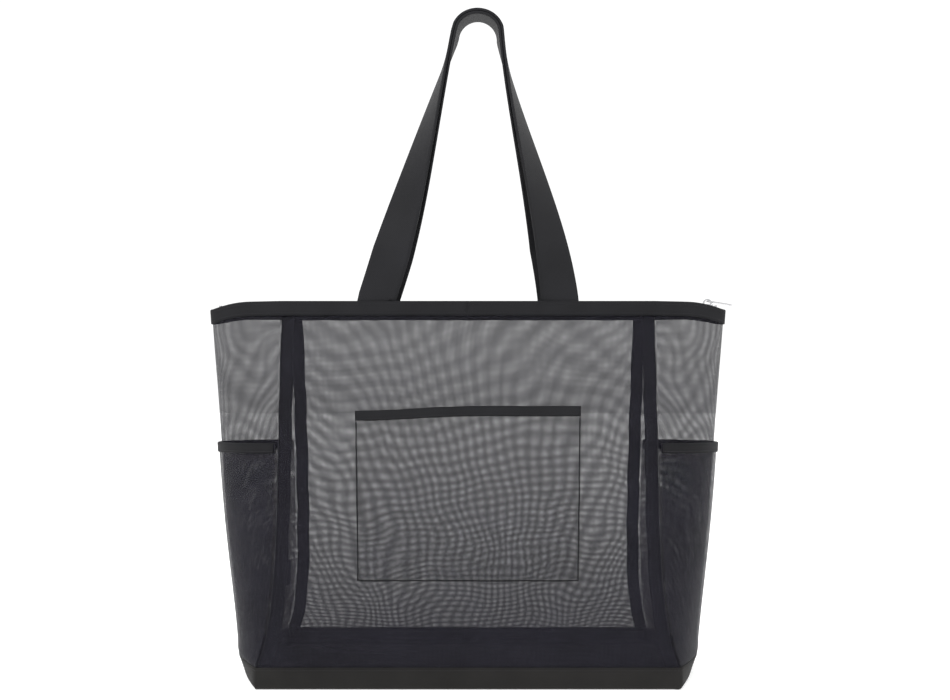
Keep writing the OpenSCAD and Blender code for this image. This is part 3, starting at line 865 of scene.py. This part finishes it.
def base():
    stations = outline_stations()
    bend = 4.5
    outside, inside = LAYER + BASE_T, 2 * LAYER
    arc = np.linspace(0, math.pi / 2, 6)
    ups = [(z, outside) for z in np.linspace(RIM_H - 0.5, bend, 6)]
    outer = ups[:-1] + [(bend - bend * math.sin(a), outside - bend * (1 - math.cos(a))) for a in arc]
    r = bend - BASE_T
    inner = [(bend - r * math.sin(a), inside - r * (1 - math.cos(a))) for a in arc[::-1]]
    inner = inner + [(z, inside) for z in np.linspace(bend, RIM_H - 0.5, 6)[1:]]
    lip = (RIM_H, (outside + inside) / 2)

    def ring(z, d):
        return np.array([outline_at(s, z, d) for s in stations])

    foot = ring(0.0, outside - bend)
    shares = [0.985, 0.9, 0.75, 0.6, 0.45, 0.3, 0.15, 0.03]

    def floor(z, share, under):
        p = foot * [share, share, 0]
        lump = np.sin(p[:, 0] / 31) * np.sin(p[:, 1] / 17 + p[:, 0] / 53)
        p[:, 2] = z + (0 if under else 0.35 * (1 + lump) * (share < 0.98))
        return p

    rings = [floor(0, k, True) for k in shares[::-1]] + [ring(z, d) for z, d in outer[::-1]]
    rings += [ring(*lip)] + [ring(z, d) for z, d in inner[::-1]]
    rings += [floor(BASE_T, k, False) for k in shares]
    rings = np.array(rings)
    n, m = rings.shape[:2]
    faces = [(i * m + j, i * m + (j + 1) % m, (i + 1) * m + (j + 1) % m, (i + 1) * m + j)
        for i in range(n - 1) for j in range(m)]
    faces += [tuple(range(m))[::-1], tuple((n - 1) * m + j for j in range(m))]
    ob = make_object("base_cloth", rings.reshape(-1, 3), faces, base_mat, "bag")
    way = foot[:, :2] * [0.1, 0.82]
    way = way / np.linalg.norm(way, axis=1)[:, None]
    climb = np.maximum(rings[..., 2], 0)[..., None]
    flat = np.where(climb > BASE_T + 1, foot[None, :, :2], rings[..., :2])
    add_weave(ob, (flat + climb * way[None]).reshape(-1, 2))
    recalc(ob)
    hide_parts("base_panel")
    loop = stations + stations[:1]
    stitching("base_rim_stitches", [row_along(loop, outline_at, RIM_H - 2.6, outside)])


base()


# ---- handles ----
WEB_W = 38.0
ARCH_R, ARCH_LEAN, ARCH_ROLL = 24.5, 10.0, 12.0
end_points = corners_of("front_handle_ends")
WEB_T = np.ptp(end_points[:, 1])
STRAP_Y = (end_points[:, 1].min() + end_points[:, 1].max()) / 2
HANDLE_SPAN = np.ptp(end_points[:, 0]) - WEB_W
END_LOW = end_points[:, 2].min()
LEG_LOW = box_of("front_handle")[0][2]
NEST = WEB_T + 1.5
LOOP_BODY = 0.75  # share by which the loop is drawn thicker than the CAD, to narrow the slit in it
ARCH_Z = HEIGHT + 296 - ARCH_R
LEG_TILT = {-1: math.radians(17), 1: math.radians(9)}  # how far a leg leans where the bend starts
LEFT_TURN, FRONT_RIGHT_TURN, BACK_RIGHT_TURN = (50, 0.8), (2, 0.8), (60, 0.6)


def leg_point(s, u, y, r):
    """A leg's middle line, from its seam at u = 0 to the bend at 1. s is -1 left, 1 right."""
    tilt = LEG_TILT[s]
    x0, x1 = s * HANDLE_SPAN / 2, ARCH_LEAN + s * r * math.cos(tilt)
    z1 = ARCH_Z + r * math.sin(tilt)
    slope0 = (x1 - x0) * (1.15 if s < 0 else 0.43)
    slope1 = -s * (z1 - LEG_LOW) * math.tan(tilt)
    x = x0 + (x1 - x0) * u * u * (3 - 2 * u)
    x += slope0 * u * (1 - u) ** 2 + slope1 * u * u * (u - 1)
    return np.array([x, y * (1 - float(ease(u))), LEG_LOW + (z1 - LEG_LOW) * u])


def leg_turn(rise, turn):
    share = (rise - turn[0]) / (ARCH_Z - HEIGHT - turn[0])
    return math.pi / 2 * np.clip(share, 0, 1) ** turn[1]


def strap_frames(y, r, right_turn):
    """Points, directions and across vectors of a handle's middle line, from its left end to its right."""

    def leg(s, turn):
        end = [(np.array([s * HANDLE_SPAN / 2, y, z]), np.array([0, 0, 1.0]), np.array([-s, 0, 0.0]))
            for z in np.linspace(END_LOW, LEG_LOW, 7)[:-1]]
        for u in np.linspace(0, 1, 90):
            p = leg_point(s, u, y, r)
            along = np.array([0, 0, 1.0])
            if u > 0:
                along = leg_point(s, min(1, u + 0.01), y, r) - leg_point(s, u - 0.01, y, r)
            a = leg_turn(p[2] - HEIGHT, turn)
            end.append((p, along, np.array([-s * math.cos(a), -math.sin(a), 0])))
        return end

    arch = []
    for share in np.linspace(0, 1, 50)[1:-1]:
        a = (math.pi - LEG_TILT[-1]) * (1 - share) + LEG_TILT[1] * share
        roll = math.radians(ARCH_ROLL) * math.sin(math.pi * share)
        across = np.array([0, -math.cos(roll), 0]) + math.sin(roll) * np.array([-math.cos(a), 0, -math.sin(a)])
        arch.append((np.array([ARCH_LEAN + r * math.cos(a), 0, ARCH_Z + r * math.sin(a)]),
            np.array([math.sin(a), 0, -math.cos(a)]), across))
    down = [(p, -t, w) for p, t, w in leg(1, right_turn)[::-1]]
    return leg(-1, LEFT_TURN) + arch + down


def handle(name, y, r, right_turn, nodes):
    section = flat_section(WEB_W, WEB_T, 4, 14)
    rings = []
    for p, along, across in strap_frames(y, r, right_turn):
        t = along / np.linalg.norm(along)
        w = across - (across @ t) * t
        w = w / np.linalg.norm(w)
        n = np.cross(t, w)
        body = 1 + LOOP_BODY * float(ease((p[2] - HEIGHT) / 150))
        rings.append([p + a * w + b * body * n for a, b in section])
    ob = sweep(f"{name}_strap_webbing", rings, web_mat, None)
    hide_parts(*nodes)
    hinge_z = LEG_LOW - 1.2
    low, high = (0, y * MM, (hinge_z - 0.5) * MM), (0, y * MM, (hinge_z + 11) * MM)
    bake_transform(ob)
    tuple(low)
    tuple(high)


handle("front", STRAP_Y, ARCH_R, FRONT_RIGHT_TURN, ["front_handle", "front_handle_ends"])
handle("back", -STRAP_Y, ARCH_R - NEST, BACK_RIGHT_TURN, ["back_handle", "back_handle_ends"])


# ---- zip ----
coil_low, coil_high = box_of("front_zip_coil")
flap_low, flap_high = box_of("front_zip_tape")
edge_low, edge_high = box_of("front_zip_edge")
ZIP_Z = flap_high[2]
ZIP_T = flap_high[2] - flap_low[2]
FLAP_END = flap_high[0]


def tape_profile():
    """The zip's tape from its sewn edge up and over to the coil, as (y, z) of its two faces, closed."""
    y0 = (edge_low[1] + edge_high[1]) / 2
    z1 = ZIP_Z - ZIP_T / 2
    bend = 1.1
    line = [(y0, z) for z in np.linspace(edge_low[2], z1 - bend, 6)]
    line += [(y0 + bend - bend * math.cos(a), z1 - bend + bend * math.sin(a))
        for a in np.linspace(0, math.pi / 2, 7)[1:]]
    line += [(y, z1) for y in np.linspace(y0 + bend, flap_high[1], 9)[1:]]
    line = np.array(line)
    run = np.gradient(line, axis=0)
    normal = np.stack([-run[:, 1], run[:, 0]], 1) / np.linalg.norm(run, axis=1)[:, None]
    return np.concatenate([line + normal * ZIP_T / 2, (line - normal * ZIP_T / 2)[::-1]])


def zip_side(name, side):
    profile = tape_profile()
    xs = np.linspace(-FLAP_END, FLAP_END, 60)
    rings = [[(x, -side * y, z) for y, z in profile] for x in xs]
    ob = sweep(f"{name}_zip_cloth", rings, zip_tape_mat, None)
    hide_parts(f"{name}_zip_edge", f"{name}_zip_tape")
    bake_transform(ob)
    row = np.array([(x, -side * (coil_low[1] - 1.6), ZIP_Z) for x in xs])
    stitching(f"{name}_zip_stitches", [(row, [(0, 0, 1)] * len(xs))], f"{name}_flap", pitch=2.6, r=0.17)


def coil_row(verts, faces, x0, x1, side, reach, shift):
    """One row of coil: a filament wound flat, with its heads towards the middle."""
    pitch, turn_points, k, r = 1.5, 12, 5, 0.3
    inner = coil_high[1] + reach
    outer = coil_low[1]
    middle, half = (inner + outer) / 2, (inner - outer) / 2 - r
    tall = (coil_high[2] - coil_low[2]) / 2 - r
    z_mid = (coil_high[2] + coil_low[2]) / 2
    turns = int((x1 - x0) / pitch)
    q = np.linspace(0, 2 * math.pi * turns, turns * turn_points + 1)
    x = x0 + shift + (x1 - x0 - pitch) * q / q[-1]
    path = np.stack([x, middle + half * np.cos(q), z_mid + tall * np.sin(q)], 1)
    run = np.gradient(path, axis=0)
    run = run / np.linalg.norm(run, axis=1)[:, None]
    a = np.cross(run, [1, 0, 0])
    a = a / np.linalg.norm(a, axis=1)[:, None]
    b = np.cross(run, a)
    size = r * (1 + 0.4 * np.clip(np.cos(q), 0, 1) ** 4)
    first = len(verts)
    for i in range(len(path)):
        for w in np.arange(k) * 2 * math.pi / k:
            p = path[i] + size[i] * (math.cos(w) * a[i] + math.sin(w) * b[i])
            verts.append((p[0], p[1] * -side, p[2]))
    n = len(path)
    for i in range(n - 1):
        for j in range(k):
            w = (j + 1) % k
            low, high = first + i * k, first + (i + 1) * k
            faces.append((low + j, high + j, high + w, low + w))
    faces.append(tuple(first + j for j in range(k)))
    faces.append(tuple(first + (n - 1) * k + j for j in reversed(range(k))))


def coil(name, spans, body, node):
    verts, faces = [], []
    for x0, x1, side, reach, shift in spans:
        coil_row(verts, faces, x0, x1, side, reach, shift)
    ob = make_object(name, verts, faces, coil_mat, body)
    recalc(ob)
    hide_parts(node)


zip_side("front", -1)
zip_side("back", 1)
HEAD = 0.62  # how far the heads of one row reach towards the other
coil("front_coil", [(-FLAP_END, FLAP_END, -1, HEAD, 0.0)], "front_flap", "front_zip_coil")
coil("back_coil", [(-FLAP_END, FLAP_END, 1, HEAD, 0.75)], "back_flap", "back_zip_coil")
end_low, end_high = box_of("right_end_coil")
coil("right_coil_end", [(end_low[0], end_high[0], s, 0, 0) for s in (-1, 1)], "bag", "right_end_coil")
coil("left_coil_end", [(-end_high[0], -end_low[0], s, 0, 0) for s in (-1, 1)], "bag", "left_end_coil")


def zip_end(name, side):
    """The ends of the zip's tape, sewn flat inside the tips of the mouth."""
    node = f"{name}_zip_end"
    depth = INNER + TAPE_T + PLAY
    ts = np.linspace(SEAM_STEP, 0.24, 40)
    edge = np.array([gusset_at(HEIGHT, t, depth, 1) for t in ts])
    x0 = FLAP_END + PLAY
    gap = -coil_high[1]
    ys = np.linspace(edge[:, 1].max() - 0.4, gap, 26)
    ys = ys[np.interp(ys, edge[::-1, 1], edge[::-1, 0]) > x0 + 1]
    rows = []
    for half in (-1, 1):
        rings = []
        for y in ys:
            x1 = float(np.interp(y, edge[::-1, 1], edge[::-1, 0]))
            rings.append([((x0 + x1) / 2 * side + a, half * y, ZIP_Z - ZIP_T / 2 + b)
                for a, b in flat_section(x1 - x0, ZIP_T, 3, 10)])
        rows.append(rings)
    for half, rings in zip(("front", "back"), rows):
        ob = sweep(f"{node}_{half}", rings, zip_tape_mat)
        if half == "front":
            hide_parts(node)


zip_end("left", -1)
zip_end("right", 1)


# ---- metal parts and label ----
for node in ("zip_slider", "zip_pull", "zip_stops"):
    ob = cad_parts[node]
    ob.data.materials.clear()
    ob.data.materials.append(metal_mat)
    weld = ob.modifiers.new("weld", "WELD")
    weld.merge_threshold = 0.005 * MM
    bevel = ob.modifiers.new("round", "BEVEL")
    bevel.width = 0.22 * MM
    bevel.segments = 3
    bevel.limit_method = "ANGLE"
    bevel.angle_limit = math.radians(35)
    bevel.harden_normals = True


def label():
    low, high = box_of("label_tab")
    tall = high[2] - low[2]

    def at(t, a, d):
        return gusset_at((low[2] + high[2]) / 2 + a, t, INNER + LAYER + 0.35 - d, -1)

    stations = np.linspace(0.93, 0.81, 14)
    section = flat_section(tall, 0.7, 4, 8)
    rings = [[at(t, a, b + 0.12 * math.sin(60 * t)) for a, b in section] for t in stations]
    ob = sweep("label_tab_satin", rings, label_mat)
    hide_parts("label_tab")


label()


# ---- floor, light and camera ----
def floor():
    me = bpy.data.meshes.new("floor")
    r = 30
    me.from_pydata([(-r, -r, 0), (r, -r, 0), (r, r, 0), (-r, r, 0)], [], [(0, 1, 2, 3)])
    ob = bpy.data.objects.new("floor", me)
    bpy.context.scene.collection.objects.link(ob)
    ob.location.z = -0.0004
    m = Nodes("floor")
    grain = m.noise(m.object_mm(), 0.4, 3.0)
    m.surface(Base_Color=m.mix(grain, (0.9, 0.9, 0.9), (0.93, 0.93, 0.93)), Roughness=0.9)
    m.surface(Specular_IOR_Level=0.1, Emission_Strength=0.45)
    m.surface(Emission_Color=(1.0, 1.0, 1.0))
    me.materials.append(m.material)


def area_light(name, at, target, size, power):
    light = bpy.data.lights.new(name, "AREA")
    light.shape = "DISK"
    light.size = size
    light.energy = power
    ob = bpy.data.objects.new(name, light)
    bpy.context.scene.collection.objects.link(ob)
    ob.location = at
    ob.rotation_euler = (Vector(target) - Vector(at)).to_track_quat("-Z", "Y").to_euler()


def studio():
    world = bpy.data.worlds.new("studio")
    bpy.context.scene.world = world
    world.use_nodes = True
    world.node_tree.nodes["Background"].inputs[0].default_value = (1, 1, 1, 1)
    world.node_tree.nodes["Background"].inputs[1].default_value = 1.1
    area_light("key", (-1.3, -1.9, 1.9), (0, 0, 0.3), 1.2, 34)
    area_light("fill", (1.9, -1.2, 0.9), (0, 0, 0.3), 1.4, 9)


def camera():
    """Level with the bag's middle, close in front of it, and raised in its frame."""
    data = bpy.data.cameras.new("camera")
    data.sensor_width = 36
    data.lens = 31.7
    data.shift_x = 0.0074
    data.shift_y = 0.0589
    ob = bpy.data.objects.new("camera", data)
    bpy.context.scene.collection.objects.link(ob)
    ob.location = (0, -0.855, 0.265)
    ob.rotation_euler = (math.pi / 2, 0, 0)
    bpy.context.scene.camera = ob


floor()
studio()
camera()
bpy.context.scene.view_settings.view_transform = "Standard"
bpy.context.scene.cycles.transparent_max_bounces = 32
